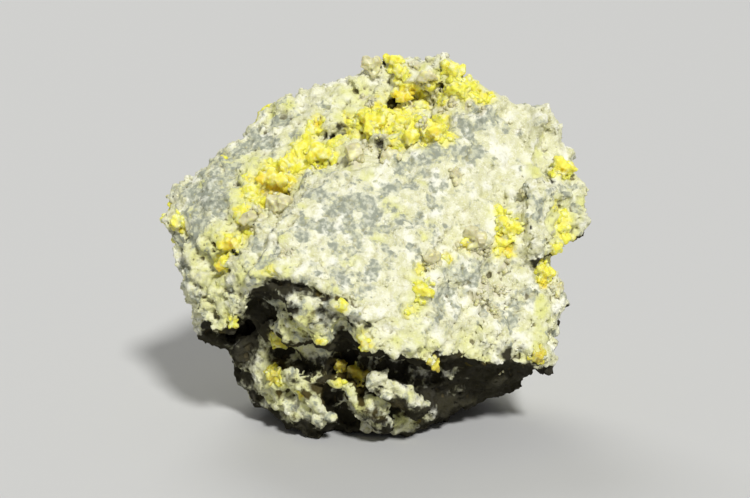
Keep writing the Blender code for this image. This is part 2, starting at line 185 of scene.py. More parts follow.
# Patches of bare grey stone, of yellow sulfur, of its amber, sunken parts, of pale lemon tint and of beige
# calcite, each with its place in the frame and its radius in pixels there.
BARE = [
    (389, 186, 8), (345, 208, 9), (356, 203, 9), (368, 210, 9), (375, 222, 8), (385, 225, 5), (367, 195, 6),
    (309, 194, 6), (325, 194, 6), (298, 221, 7), (300, 235, 5), (330, 230, 7), (336, 246, 5), (395, 254, 5),
    (336, 279, 7), (345, 284, 5), (417, 255, 6), (320, 249, 4), (359, 245, 3), (410, 165, 11), (422, 155, 11),
    (437, 148, 12), (452, 142, 11), (468, 134, 11), (484, 127, 10), (497, 121, 8), (474, 154, 6),
    (412, 186, 4), (431, 190, 4), (432, 199, 5), (433, 208, 4), (448, 227, 5), (477, 227, 3), (458, 270, 11),
    (470, 275, 10), (450, 288, 8), (484, 268, 6), (440, 303, 10), (443, 314, 6), (457, 318, 4), (513, 304, 6),
    (512, 322, 6), (530, 290, 7), (537, 200, 8), (538, 213, 6), (573, 188, 7), (558, 295, 5), (483, 303, 5),
    (477, 110, 7), (536, 104, 8), (520, 108, 5), (205, 182, 13), (211, 198, 13), (223, 207, 7), (198, 206, 6),
    (202, 223, 13), (180, 243, 8), (187, 267, 6), (208, 253, 6), (230, 290, 6), (232, 304, 5), (248, 265, 4),
    (255, 247, 7), (222, 158, 8), (236, 166, 6), (246, 150, 9), (262, 136, 8), (281, 119, 7), (283, 101, 6),
    (272, 146, 5), (263, 295, 8), (272, 300, 6), (302, 301, 4), (324, 312, 6), (310, 326, 5), (330, 336, 5),
    (291, 373, 5), (297, 398, 4), (327, 415, 6), (369, 384, 4), (380, 395, 3), (372, 409, 4), (347, 395, 3),
    (391, 412, 3), (201, 313, 4), (200, 340, 4), (287, 118, 7), (318, 104, 4), (552, 330, 4), (575, 205, 5),
    (568, 300, 5), (430, 330, 3), (500, 318, 4), (372, 268, 7), (362, 290, 6), (385, 282, 5), (392, 300, 4),
    (196, 196, 9), (206, 208, 9), (216, 214, 7), (300, 310, 6), (320, 322, 5), (196, 300, 5), (184, 282, 6),
    (238, 256, 5), (262, 266, 5), (566, 190, 7), (522, 134, 5), (506, 130, 5),
]
YELLOW = [
    (394, 60, 8), (398, 72, 8), (412, 88, 8), (419, 92, 8), (430, 86, 8), (455, 82, 9), (462, 88, 10),
    (444, 98, 8), (470, 84, 6), (475, 96, 8), (488, 98, 6), (378, 116, 14), (364, 122, 12), (352, 122, 8),
    (396, 112, 9), (408, 122, 13), (424, 128, 14), (438, 124, 10), (402, 140, 10), (446, 138, 7),
    (390, 132, 8), (420, 106, 7), (340, 138, 8), (352, 134, 6), (392, 148, 5), (422, 67, 4), (330, 147, 8),
    (318, 152, 12), (306, 160, 10), (328, 164, 9), (294, 166, 9), (312, 130, 8), (318, 121, 6),
    (278, 172, 10), (266, 180, 11), (280, 188, 10), (292, 180, 7), (256, 196, 9), (243, 210, 7),
    (247, 234, 5), (250, 190, 8), (231, 244, 11), (220, 264, 10), (177, 224, 7), (202, 183, 4), (268, 270, 6),
    (507, 223, 8), (506, 238, 9), (508, 250, 6), (467, 244, 5), (446, 257, 5), (420, 271, 5), (422, 295, 4),
    (543, 280, 7), (544, 266, 6), (556, 250, 7), (566, 237, 7), (561, 216, 5), (583, 202, 4), (566, 168, 9),
    (558, 174, 5), (541, 138, 3), (538, 154, 4), (535, 169, 4), (541, 296, 4), (543, 312, 3), (536, 350, 4),
    (523, 357, 3), (272, 368, 7), (277, 379, 6), (301, 394, 5), (362, 345, 8), (357, 375, 7), (340, 365, 6),
    (358, 389, 4), (355, 407, 4), (416, 421, 4), (403, 418, 4), (279, 342, 11), (410, 310, 6), (366, 176, 4),
    (349, 170, 4), (308, 318, 4), (318, 343, 5), (303, 331, 4), (342, 308, 5), (340, 381, 5), (234, 322, 5),
    (240, 280, 4), (300, 150, 9), (286, 163, 9), (270, 168, 8), (308, 140, 7), (262, 200, 8), (274, 200, 7),
    (330, 158, 8), (240, 218, 6), (500, 212, 6), (498, 248, 7), (556, 206, 5), (560, 226, 8), (550, 262, 5),
    (272, 116, 3), (288, 104, 3), (254, 158, 4), (248, 176, 6),
]
AMBER = [
    (405, 96, 7), (410, 88, 6), (396, 108, 5), (284, 188, 12), (272, 190, 11), (262, 180, 6), (292, 196, 7),
    (256, 178, 4), (282, 340, 5), (232, 248, 7), (221, 266, 6), (357, 375, 7), (340, 365, 7), (270, 366, 7),
    (277, 380, 5), (504, 236, 5), (508, 252, 5), (543, 284, 7), (467, 246, 4), (446, 258, 4), (318, 124, 5),
    (382, 126, 4), (540, 352, 4), (177, 228, 5), (384, 146, 7), (437, 137, 4), (364, 345, 5), (303, 331, 4),
    (301, 394, 4), (318, 343, 4), (523, 357, 4), (560, 172, 4),
]
LEMON = [
    (334, 292, 8), (350, 262, 7), (376, 234, 8), (396, 212, 8), (388, 202, 6), (412, 280, 7), (415, 305, 8),
    (424, 354, 8), (398, 340, 8), (440, 362, 6), (485, 360, 7), (470, 340, 6), (290, 268, 6), (262, 262, 7),
    (256, 278, 6), (280, 236, 5), (272, 250, 5), (300, 206, 5), (296, 176, 6), (230, 220, 6), (216, 238, 6),
    (192, 214, 4), (196, 236, 5), (184, 256, 5), (210, 290, 9), (222, 300, 8), (200, 300, 8), (232, 322, 6),
    (216, 330, 6), (245, 196, 8), (256, 176, 8), (240, 182, 6), (300, 136, 8), (338, 118, 6), (420, 182, 4),
    (424, 236, 5), (430, 222, 4), (480, 328, 4), (534, 176, 5), (530, 240, 4), (552, 208, 5), (548, 230, 6),
    (550, 322, 5), (540, 306, 6), (356, 98, 4), (442, 68, 9), (452, 72, 8), (476, 84, 6), (310, 310, 6),
    (300, 330, 8), (336, 322, 7), (270, 400, 8), (296, 412, 6), (330, 384, 6), (374, 398, 6), (396, 424, 6),
    (410, 396, 6), (355, 390, 5), (380, 360, 5), (470, 366, 5), (360, 330, 4), (318, 292, 5), (310, 148, 9),
    (282, 160, 9), (258, 168, 9), (240, 200, 9), (300, 180, 8), (320, 172, 8), (346, 150, 7),
]
BEIGE = [
    (500, 373, 4), (478, 300, 8), (495, 310, 7), (483, 250, 10), (474, 246, 8), (460, 246, 6), (486, 284, 9),
    (498, 290, 7), (275, 200, 9), (248, 223, 9), (256, 214, 7), (354, 156, 11), (386, 154, 8), (366, 146, 6),
    (380, 136, 6), (414, 67, 6), (376, 61, 5), (422, 81, 7), (414, 105, 6), (432, 102, 6), (444, 110, 6),
    (452, 105, 5), (421, 125, 6), (481, 110, 5), (466, 106, 4), (371, 102, 6), (362, 97, 5), (455, 175, 5),
    (522, 191, 5), (287, 252, 6), (430, 262, 6), (553, 286, 6), (552, 232, 3), (506, 268, 6), (320, 166, 4),
    (290, 172, 4), (440, 90, 4),
]
# Wide zones: where more of the stone is bare, where less is, where the crust is lemon, where the skin is
# calm, where dark shade is painted on sheltered undersides and hollows, and where a little painted shade goes
# all over the lower part, under the ledge.
BARE_ZONES = [
    (330, 215, 62), (210, 190, 50), (214, 186, 30), (455, 140, 50), (250, 150, 40), (285, 305, 34),
    (440, 300, 30), (537, 205, 24), (350, 240, 50), (510, 310, 30), (330, 340, 30),
]
CREAM_ZONES = [
    (440, 64, 14), (484, 200, 40), (350, 92, 26), (520, 150, 24), (410, 285, 30), (510, 280, 26),
    (320, 262, 24), (460, 340, 40), (215, 305, 34), (545, 320, 22), (560, 120, 20), (530, 116, 20),
    (390, 330, 30),
]
LEMON_ZONES = [
    (215, 300, 30), (205, 250, 26), (300, 330, 34), (280, 390, 34), (320, 400, 30), (385, 410, 30),
    (420, 350, 24), (250, 270, 20), (245, 190, 24), (350, 95, 22), (280, 105, 16), (560, 220, 24),
    (545, 330, 18), (470, 350, 20), (240, 160, 20), (340, 380, 26),
]
CALM_ZONES = [
    (446, 68, 12), (205, 195, 18), (198, 223, 13), (330, 225, 50), (390, 210, 60), (450, 190, 60),
    (490, 150, 50), (400, 270, 40), (530, 120, 20),
]
# Painted shade: spots darkened where undercuts, hollows and undersides lie in shade.
SHADE_ZONES = [
    (256, 308, 12), (266, 296, 8), (284, 287, 8), (300, 288, 7), (314, 293, 5), (328, 298, 4), (344, 301, 4),
    (270, 288, 8), (258, 322, 14), (271, 314, 10), (246, 338, 14), (262, 332, 8), (222, 352, 16),
    (238, 372, 16), (240, 356, 13), (244, 376, 12), (249, 394, 10), (232, 334, 9), (243, 326, 8),
    (208, 340, 9), (226, 338, 9), (246, 400, 10), (282, 355, 8), (300, 360, 7), (318, 365, 7), (332, 363, 7),
    (344, 347, 8), (338, 338, 7), (347, 361, 6), (364, 362, 4), (388, 368, 6), (318, 387, 6), (330, 398, 7),
    (343, 412, 7), (300, 366, 6), (326, 372, 6), (292, 380, 4), (306, 392, 4), (354, 426, 6), (362, 404, 3),
    (404, 375, 8), (420, 380, 9), (436, 383, 11), (470, 396, 20), (440, 396, 14), (505, 382, 14),
    (424, 412, 5), (440, 388, 26), (480, 380, 24), (518, 368, 12), (460, 404, 24), (457, 380, 8),
    (476, 379, 8), (496, 377, 8), (512, 370, 7), (509, 357, 6), (436, 356, 4), (338, 298, 3), (350, 323, 4),
    (366, 326, 3), (279, 393, 3), (300, 428, 12), (340, 434, 12), (380, 436, 12), (270, 418, 12),
    (394, 410, 4), (424, 424, 10), (325, 135, 4), (341, 127, 4), (380, 144, 5), (398, 101, 3), (420, 98, 3),
    (552, 181, 3), (580, 238, 4), (212, 250, 3), (222, 274, 3), (204, 296, 3), (226, 292, 3),
]
# Painted shade: a little darkening over the lower part, which the ledge shades.
LOW_SHADE_ZONES = [
    (262, 345, 26), (270, 385, 26), (300, 400, 28), (335, 400, 28), (375, 405, 26), (410, 400, 24),
    (330, 350, 20), (290, 300, 16), (215, 335, 16), (440, 360, 14), (500, 350, 14),
]


def sight_line(px, py):
    """The direction from the camera through a point of its frame."""
    focal = FRAME_WIDTH * LENS / SENSOR
    across, up = (px - FRAME_WIDTH / 2) / focal, (FRAME_HEIGHT / 2 - py) / focal
    return camera.rotation_euler.to_matrix() @ Vector((across, up, -1)).normalized()


def on_surface(surface, px, py):
    """Where the block shows at a point of the frame, or its nearest place beside the outline. Millimetres."""
    line = sight_line(px, py)
    hit = surface.ray_cast(camera.location, line)[0]
    if hit is None:
        hit = surface.find_nearest(camera.location + line * DISTANCE)[0]
    return np.array(hit) / MM


def surface_of(mesh):
    """The mesh as a surface that lines can be cast onto."""
    return BVHTree.FromPolygons([v.co for v in mesh.vertices], [p.vertices for p in mesh.polygons])


def coords(mesh):
    """Its vertices' places, in metres."""
    flat = np.empty(len(mesh.vertices) * 3, np.float32)
    mesh.vertices.foreach_get("co", flat)
    return flat.reshape(-1, 3).astype(float)


def normals(mesh):
    """The direction that each of its vertices faces."""
    flat = np.empty(len(mesh.vertices) * 3, np.float32)
    mesh.vertices.foreach_get("normal", flat)
    return flat.reshape(-1, 3).astype(float)


def pushed(mesh, distance):
    """The mesh with each vertex moved along its normal by its own distance in millimetres."""
    points = coords(mesh) + normals(mesh) * (distance * MM)[:, None]
    mesh.vertices.foreach_set("co", points.astype(np.float32).ravel())
    mesh.update()
    return mesh


def grounded(mesh):
    """The mesh with whatever hangs below the rest face pressed up to it."""
    points = coords(mesh)
    points[:, 2] = np.maximum(points[:, 2], 0)
    mesh.vertices.foreach_set("co", points.astype(np.float32).ravel())
    mesh.update()
    return mesh


def applied(mesh, *modifiers):
    """The mesh after these modifiers, each given as its type and a dictionary of settings."""
    obj = bpy.data.objects.new("in_work", mesh)
    scene.collection.objects.link(obj)
    for kind, settings in modifiers:
        mod = obj.modifiers.new(kind.lower(), kind)
        for key, value in settings.items():
            setattr(mod, key, value)
    made = bpy.data.meshes.new_from_object(obj.evaluated_get(bpy.context.evaluated_depsgraph_get()))
    bpy.data.objects.remove(obj)
    return made


def voxels(size):
    """A remesh with cells of that many millimetres, for applied()."""
    return "REMESH", {"mode": "VOXEL", "voxel_size": size * MM}


def welded(*meshes):
    """One mesh of several, with the corners that an edge split joined again."""
    bm = bmesh.new()
    for mesh in meshes:
        bm.from_mesh(mesh)
    bmesh.ops.remove_doubles(bm, verts=bm.verts, dist=0.001 * MM)
    mesh = bpy.data.meshes.new("welded")
    bm.to_mesh(mesh)
    bm.free()
    return mesh


def outer_skin(mesh):
    """The mesh without the small closed pockets that a remesh leaves inside."""
    bm = bmesh.new()
    bm.from_mesh(mesh)
    skins, waiting = [], set(bm.verts)
    while waiting:
        skin, edge = [], [waiting.pop()]
        while edge:
            vert = edge.pop()
            skin.append(vert)
            near = {e.other_vert(vert) for e in vert.link_edges} & waiting
            waiting -= near
            edge.extend(near)
        skins.append(skin)
    skins.sort(key=len)
    bmesh.ops.delete(bm, geom=[v for skin in skins[:-1] for v in skin], context="VERTS")
    bm.to_mesh(mesh)
    bm.free()
    return mesh


def smoothstep(low, high, value):
    """0 up to the low value, 1 from the high one, with an even ramp between."""
    t = np.clip((value - low) / (high - low), 0, 1)
    return t * t * (3 - 2 * t)


def from_line(points, line):
    """Each point's distance to a line through several places."""
    nearest = np.full(len(points), np.inf)
    for start, end in zip(line, line[1:]):
        along = end - start
        t = np.clip((points - start) @ along / max(along @ along, 1e-9), 0, 1)
        nearest = np.minimum(nearest, np.linalg.norm(points - start - t[:, None] * along, axis=1))
    return nearest


def fractal(points, length, octaves=3):
    """Cloudy noise between about -1 and 1, with its largest lumps that many millimetres across."""
    return np.array([noise.fractal(Vector(p) / length, 1.0, 2.0, octaves) for p in points])


def cells(points, length):
    """Each point's distance to the nearest of scattered seeds, in units of their spacing."""
    return np.array([noise.voronoi(Vector(p) / length)[0][0] for p in points])


def swirled(points, length, amount):
    """The points moved about by cloudy noise, so that what is laid out by distance gets an uneven edge."""
    return points + amount * np.array([noise.noise_vector(Vector(p) / length) for p in points])


def facets(points, length, slope, step):
    """Broken rock: a height in millimetres over flat facets of about that length, each with its own tilt and
    its own step up or down."""
    height = np.empty(len(points))
    for i, p in enumerate(points):
        place = Vector(p) / length
        seed = noise.voronoi(place)[1][0]
        tilt = noise.cell_vector(seed * 9.7) - Vector((0.5, 0.5, 0.5))
        height[i] = length * slope * tilt.dot(place - seed) + step * (noise.cell(seed * 5.3) - 0.5)
    return height


def patches(surface, points, spots):
    """1 in the middle of each patch and half at its edge."""
    field = np.zeros(len(points))
    for px, py, radius in spots:
        away = np.linalg.norm(points - on_surface(surface, px, py), axis=1) / (radius * PIXEL)
        field = np.maximum(field, np.exp2(-away ** 2))
    return field


def hollowness(mesh, rounds):
    """How far each vertex lies under the mean of its surroundings, in millimetres."""
    points, out = coords(mesh) / MM, normals(mesh)
    ends = np.empty(len(mesh.edges) * 2, np.int32)
    mesh.edges.foreach_get("vertices", ends)
    a, b = ends.reshape(-1, 2).T
    count = np.bincount(a, minlength=len(points)) + np.bincount(b, minlength=len(points))
    mean = points.copy()
    for _ in range(rounds):
        for axis in range(3):
            column = mean[:, axis]
            total = np.bincount(a, column[b], len(points)) + np.bincount(b, column[a], len(points))
            mean[:, axis] = 0.5 * column + 0.5 * total / count
    return ((mean - points) * out).sum(axis=1)


def shelter(surface, points, out):
    """How much of what each point faces is rock a few centimetres off: 0 in the open, 1 deep inside."""
    reach, spread, grazing, lift = 32, 40, 0.15, 1.5
    golden = math.pi * (3 - math.sqrt(5))
    heights = [1 - 2 * (i + 0.5) / spread for i in range(spread)]
    circles = [math.sqrt(1 - z * z) for z in heights]
    rays = [Vector((math.cos(golden * i) * r, math.sin(golden * i) * r, z))
            for i, (r, z) in enumerate(zip(circles, heights))]
    shut = np.zeros(len(points))
    for i, (point, normal) in enumerate(zip(points, out)):
        normal = Vector(normal)
        start = Vector(point) * MM + normal * lift * MM
        faced = [ray for ray in rays if ray.dot(normal) > grazing]
        hits = sum(surface.ray_cast(start, ray, reach * MM)[0] is not None for ray in faced)
        shut[i] = hits / len(faced)
    return shut


def store(mesh, fields):
    """Keeps a number for each vertex under each name, for the materials to read."""
    for name, values in fields.items():
        layer = mesh.attributes.get(name) or mesh.attributes.new(name, "FLOAT", "POINT")
        layer.data.foreach_set("value", values.astype(np.float32))


def nearest_of(points, others):
    """For each of the others, which of the points lies nearest."""
    tree = KDTree(len(points))
    for i, p in enumerate(points):
        tree.insert(p, i)
    tree.balance()
    return np.array([tree.find(p)[1] for p in others])


# First the big shapes: the CAD solids melted together, then creases, lips, wide vugs and chipped facets.
crystal_nodes = sorted(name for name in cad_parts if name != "matrix")
mesh = welded(*(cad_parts[name].data for name in ["matrix", *crystal_nodes]))
mesh = outer_skin(applied(mesh, voxels(ROOT_VOXEL), ("SMOOTH", {"factor": 0.5, "iterations": 3})))
smooth_surface = surface_of(mesh)
points = coords(mesh) / MM
carved = np.zeros(len(points))
for lines, side in ((CREASES, -1), (LIPS, 1)):
    for spots, width, depth in lines:
        away = from_line(points, [on_surface(smooth_surface, *spot) for spot in spots]) / width
        carved += side * depth * np.exp(-away ** 2)
for px, py, radius, depth in VUGS:
    if radius > FINE_VUG:
        away = np.linalg.norm(points - on_surface(smooth_surface, px, py), axis=1) / radius
        carved -= depth * np.exp(-away ** 2)
calm = patches(smooth_surface, points, CALM_ZONES)
crags = facets(swirled(points, 9, 2.0), 12, 0.35, 0.8) + facets(swirled(points, 6, 1.2), 6, 0.35, 0.4)
carved += (1.35 - 0.85 * calm) * (0.7 * fractal(points, 10) + crags) - 0.4
mesh = grounded(pushed(mesh, carved))

root_points = coords(mesh) / MM
root_shelter = shelter(surface_of(mesh), root_points, normals(mesh))
mesh = outer_skin(applied(mesh, voxels(SKIN_VOXEL)))
block_surface = surface_of(mesh)

# Then what the skin is made of, and where shade is painted on it. Each field is near 0 where there is none of
# a thing and 1 in its middle.
points = coords(mesh) / MM
swirl = swirled(swirled(points, 5, 1.6), 1.7, 0.7)
front = smoothstep(-0.1, 0.35, normals(mesh) @ np.array((0.0, -0.95, 0.3)))
calm = patches(block_surface, points, CALM_ZONES)
# Painted shade: the next field darkens the shade zones, undersides that face down, the front's underside
# below the ledge, places deep in sheltered hollows and a little of the lower part. It is weaker over sulfur.
under = np.array([smooth_surface.find_nearest(Vector(p) * MM)[1].z for p in points])
deep = smoothstep(0.5, 0.78, root_shelter[nearest_of(root_points, points)])
dark = np.maximum(patches(block_surface, swirl, SHADE_ZONES), smoothstep(-0.35, -0.8, under))
overhung = smoothstep(-0.18, -0.45, under) * smoothstep(2, -14, points[:, 1])
overhung = overhung * smoothstep(6, 22, points[:, 0]) * smoothstep(60, 48, points[:, 2])
dark = np.maximum(np.maximum(dark, overhung), deep) + 0.3 * patches(block_surface, points, LOW_SHADE_ZONES)
zone = 0.3 * patches(block_surface, points, BARE_ZONES) - 0.35 * patches(block_surface, points, CREAM_ZONES)
bare = 0.85 * patches(block_surface, swirl, BARE) + zone
bare = bare + 0.9 * fractal(points, 6, 4) + 0.4 * fractal(points, 2)
bare += 0.12 * (1 - front) - 0.36
brimstone = patches(block_surface, swirl, [spot for spot in YELLOW if spot[2] > FAINT_SPOT])
hidden = smoothstep(0.3, 0.6, fractal(points + 61, 22, 3)) * (1 - front) * smoothstep(-18, 4, points[:, 1])
brimstone = np.maximum(brimstone, hidden)
dark *= 1 - 0.55 * smoothstep(0.3, 0.6, brimstone)
beige = patches(block_surface, swirl, BEIGE)
amber = patches(block_surface, swirl, AMBER)
lemon = patches(block_surface, swirl, LEMON) + 0.4 * (1 - front)
halo = patches(block_surface, swirl, [(px, py, 1.9 * radius) for px, py, radius in YELLOW])
stains = patches(block_surface, swirl, [spot for spot in YELLOW if spot[2] <= FAINT_SPOT])
lemon = np.maximum(lemon, 0.75 * patches(block_surface, points, LEMON_ZONES)) + 0.7 * halo + 0.6 * stains
bare -= 1.2 * smoothstep(0.3, 0.6, brimstone) + 0.35 * halo + 0.5 * stains + 0.7 * smoothstep(0.3, 0.6, beige)
stone = smoothstep(-0.08, 0.12, bare)

# Last the fine relief: knobbly crust, chips, veins, pores and, where there is sulfur, its buds.
crust = cells(points, 2.4)
rough = 1.25 - 0.5 * calm
relief = (1 - stone) * (0.35 * (0.45 - crust) + 0.3)
chips = facets(swirled(points, 4, 0.8), 4.0, 0.26, 0.3) + facets(swirled(points, 2, 0.3), 2.0, 0.2, 0.12)
relief += rough * chips
relief += rough * (0.6 * fractal(points + 5, 5, 3) + 0.2 * fractal(points, 1.5, 2)) - 0.1
veins = 1 - smoothstep(0.0, 0.09, np.abs(fractal(points + 33, 11, 3)))
relief -= 0.6 * veins * smoothstep(-0.2, 0.3, fractal(points + 90, 14, 2))
pores = smoothstep(0.42, 0.62, fractal(points + 120, 2.4, 2))
relief -= (1.0 - 0.75 * calm) * pores
buds = cells(points + 200, 1.9)
budding = 0.8 * (0.45 - buds) + 0.9 * fractal(points + 70, 4.5, 2) + 0.3
relief += smoothstep(0.3, 0.6, brimstone) * budding
for px, py, radius, depth in VUGS:
    if radius <= FINE_VUG:
        away = np.linalg.norm(points - on_surface(block_surface, px, py), axis=1) / radius
        relief -= depth * (1 - smoothstep(0.5, 1.1, away))
mesh = grounded(pushed(mesh, np.minimum(relief, HIGHEST)))

fine_points = coords(mesh)
# The hollow and pit fields mark the skin's hollows and pits, where the materials paint shade.
hollow = (1 - 0.4 * calm) * smoothstep(0.1, 1.0, hollowness(mesh, 14))
pit = smoothstep(0.05, 0.4, hollowness(mesh, 4))
fields = {"pit": pit, "hollow": hollow, "dark": dark, "bare": bare, "brimstone": brimstone, "amber": amber,
          "lemon": lemon, "beige": beige}
mesh = applied(mesh, ("DECIMATE", {"ratio": SKIN_TRIANGLES / (2 * len(mesh.polygons))}))
near = nearest_of(fine_points, coords(mesh))
store(mesh, {name: values[near] for name, values in fields.items()})
mesh.shade_smooth()


def add_piece(name, mesh, material):
    """A piece of the specimen. All of it is one body."""
    piece = bpy.data.objects.new(name, mesh)
    mesh.materials.clear()
    mesh.materials.append(material)
    scene.collection.objects.link(piece)
    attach(piece, "root")
    return piece


class Nodes:
    """A node tree, filled by adding one node at a time."""

    def __init__(self, tree):
        self.tree = tree

    def add(self, kind, inputs=None, **settings):
        node = self.tree.nodes.new(kind)
        for key, value in settings.items():
            setattr(node, key, value)
        for socket, value in (inputs or {}).items():
            if isinstance(value, bpy.types.NodeSocket):
                self.connect(value, node.inputs[socket])
            else:
                node.inputs[socket].default_value = value
        return node

    def connect(self, source, socket):
        self.tree.links.new(source, socket)

    def math(self, operation, *values):
        return self.add("ShaderNodeMath", dict(enumerate(values)), operation=operation).outputs[0]

    def field(self, name):
        return self.add("ShaderNodeAttribute", attribute_name=name).outputs["Fac"]

    def step(self, value, low, high):
        settings = {"Value": value, "From Min": low, "From Max": high}
        return self.add("ShaderNodeMapRange", settings, interpolation_type="SMOOTHSTEP").outputs[0]

    def mix(self, factor, first, second):
        """One colour turned into another. Sockets 0, 6 and 7 are the factor and the colours."""
        mixer = self.add("ShaderNodeMix", {0: factor}, data_type="RGBA")
        for number, value in ((6, first), (7, second)):
            if isinstance(value, bpy.types.NodeSocket):
                self.connect(value, mixer.inputs[number])
            else:
                mixer.inputs[number].default_value = (*value, 1)
        return mixer.outputs[2]


def node_group(name, inputs, outputs):
    """A shader group: its numbers go in with these default values, its values come out under these names."""
    group = bpy.data.node_groups.new(name, "ShaderNodeTree")
    for label, value in inputs.items():
        socket = group.interface.new_socket(label, in_out="INPUT", socket_type="NodeSocketFloat")
        socket.default_value = value
    for label in outputs:
        group.interface.new_socket(label, in_out="OUTPUT", socket_type="NodeSocketFloat")
    nodes = Nodes(group)
    return group, nodes, nodes.add("NodeGroupInput").outputs, nodes.add("NodeGroupOutput").inputs


# Speckle: cloudy noise of one size in the stone's own space, about 0 in the middle.
speckle, nodes, given, result = node_group("speckle", {"Per Metre": 1000.0, "Detail": 3.0}, ["Value"])
place = nodes.add("ShaderNodeTexCoord").outputs["Object"]
settings = {"Vector": place, "Scale": given["Per Metre"], "Detail": given["Detail"]}
cloud = nodes.add("ShaderNodeTexNoise", settings)
nodes.connect(nodes.math("SUBTRACT", cloud.outputs["Fac"], 0.5), result["Value"])

# Ragged edge: turns a soft field into a patch whose edge is broken up by speckle.
ragged, nodes, given, result = node_group(
    "ragged_edge", {"Field": 0.0, "Level": 0.5, "Ragged": 0.6, "Soft": 0.06, "Per Metre": 700.0}, ["Mask"])
cloud = nodes.add("ShaderNodeGroup", node_tree=speckle)
nodes.connect(given["Per Metre"], cloud.inputs["Per Metre"])
cloud.inputs["Detail"].default_value = 4.0
broken = nodes.math("MULTIPLY_ADD", cloud.outputs[0], given["Ragged"], given["Field"])
above = nodes.math("SUBTRACT", broken, given["Level"])
nodes.connect(nodes.step(nodes.math("DIVIDE", above, given["Soft"]), -1, 1), result["Mask"])

# Grit: the height of grains too small to model, from one size of cells and a finer noise.
grit, nodes, given, result = node_group("grit", {"Per Metre": 900.0}, ["Height"])
place = nodes.add("ShaderNodeTexCoord").outputs["Object"]
coarse = nodes.add("ShaderNodeTexVoronoi", {"Vector": place, "Scale": given["Per Metre"]}).outputs["Distance"]
finer = nodes.math("MULTIPLY", given["Per Metre"], 2.3)
fine = nodes.add("ShaderNodeTexNoise", {"Vector": place, "Scale": finer, "Detail": 4.0}).outputs["Fac"]
nodes.connect(nodes.math("MULTIPLY_ADD", coarse, -0.6, fine), result["Height"])

# Colours, as linear red, green and blue.
CREAM = (0.82, 0.81, 0.60)
IVORY = (0.68, 0.67, 0.41)
CHALK = (0.91, 0.905, 0.80)
BLUE_GREY = (0.315, 0.335, 0.262)
PALE_GREY = (0.53, 0.55, 0.44)
LEMON_TINT = (0.72, 0.73, 0.24)
SULFUR_YELLOW = (0.86, 0.78, 0.075)
SULFUR_PALE = (0.88, 0.85, 0.30)
SULFUR_AMBER = (0.82, 0.61, 0.035)
SULFUR_BLOOM = (0.87, 0.855, 0.42)
# Painted shade: the dark brown-olive of sulfur in shade.
SULFUR_SHADE = (0.32, 0.235, 0.02)
CALCITE_BEIGE = (0.64, 0.60, 0.44)
# Painted shade, the next five: dark for creases and hollows, yellowish brown for pits, near-black and brown
# for shaded undersides, amber-brown for hollows in the sulfur.
CREVICE_SHADE = (0.09, 0.075, 0.04)
PIT_SHADE = (0.40, 0.35, 0.14)
SHADE_BLACK = (0.020, 0.017, 0.010)
SHADE_BROWN = (0.065, 0.046, 0.010)
AMBER_HOLLOW_SHADE = (0.27, 0.165, 0.008)


def group(nodes, tree, **inputs):
    """A group placed with its own values. An underscore in a name stands for a space."""
    return nodes.add("ShaderNodeGroup", {k.replace("_", " "): v for k, v in inputs.items()}, node_tree=tree)


def new_material(name):
    material = bpy.data.materials.new(name)
    material.use_nodes = True
    nodes = Nodes(material.node_tree)
    return material, nodes, material.node_tree.nodes["Principled BSDF"].inputs


def set_values(surface, values):
    """Constant values, put straight on the shader's sockets."""
    for socket, value in values.items():
        surface[socket].default_value = value


def add_grit(nodes, surface, per_metre, strength, distance):
    """A bump of grains too small to model, with its largest height in metres."""
    height = group(nodes, grit, Per_Metre=per_metre).outputs[0]
    bump = nodes.add("ShaderNodeBump", {"Height": height, "Strength": strength, "Distance": distance})
    nodes.connect(bump.outputs[0], surface["Normal"])


limestone, nodes, surface = new_material("limestone")
tone = nodes.step(group(nodes, speckle, Per_Metre=260.0, Detail=5.0).outputs[0], -0.12, 0.14)
fleck = nodes.step(group(nodes, speckle, Per_Metre=1500.0, Detail=2.0).outputs[0], 0.06, 0.12)
colour = nodes.mix(tone, IVORY, CREAM)
colour = nodes.mix(nodes.math("MULTIPLY", fleck, 0.5), colour, CHALK)
bleached = nodes.step(group(nodes, speckle, Per_Metre=130.0, Detail=4.0).outputs[0], 0.0, 0.14)
colour = nodes.mix(nodes.math("MULTIPLY", bleached, 0.7), colour, CHALK)
tint = group(nodes, ragged, Field=nodes.field("lemon"), Level=0.7, Ragged=1.9, Soft=0.7, Per_Metre=300.0)
colour = nodes.mix(nodes.math("MULTIPLY", tint.outputs[0], 0.8), colour, LEMON_TINT)
grey_tone = nodes.step(group(nodes, speckle, Per_Metre=500.0, Detail=5.0).outputs[0], -0.1, 0.16)
grey = nodes.mix(grey_tone, BLUE_GREY, PALE_GREY)
bare_mask = group(nodes, ragged, Field=nodes.field("bare"), Level=0.05, Ragged=2.2, Soft=0.26,
                  Per_Metre=420.0)
dusted = nodes.math("MULTIPLY_ADD", grey_tone, -0.4, 1.0)
colour = nodes.mix(nodes.math("MULTIPLY", bare_mask.outputs[0], dusted), colour, grey)
beige_mask = group(nodes, ragged, Field=nodes.field("beige"), Level=0.5, Ragged=1.2, Soft=0.2,
                   Per_Metre=450.0)
colour = nodes.mix(nodes.math("MULTIPLY", beige_mask.outputs[0], 0.8), colour, CALCITE_BEIGE)
yellow_mask = group(nodes, ragged, Field=nodes.field("brimstone"), Level=0.42, Ragged=1.4, Soft=0.3,
                    Per_Metre=420.0)
amber_mask = group(nodes, ragged, Field=nodes.field("amber"), Level=0.6, Ragged=0.8, Soft=0.5,
                   Per_Metre=300.0)
yellow = nodes.mix(tone, SULFUR_YELLOW, SULFUR_PALE)
yellow = nodes.mix(amber_mask.outputs[0], yellow, SULFUR_AMBER)
colour = nodes.mix(yellow_mask.outputs[0], colour, yellow)
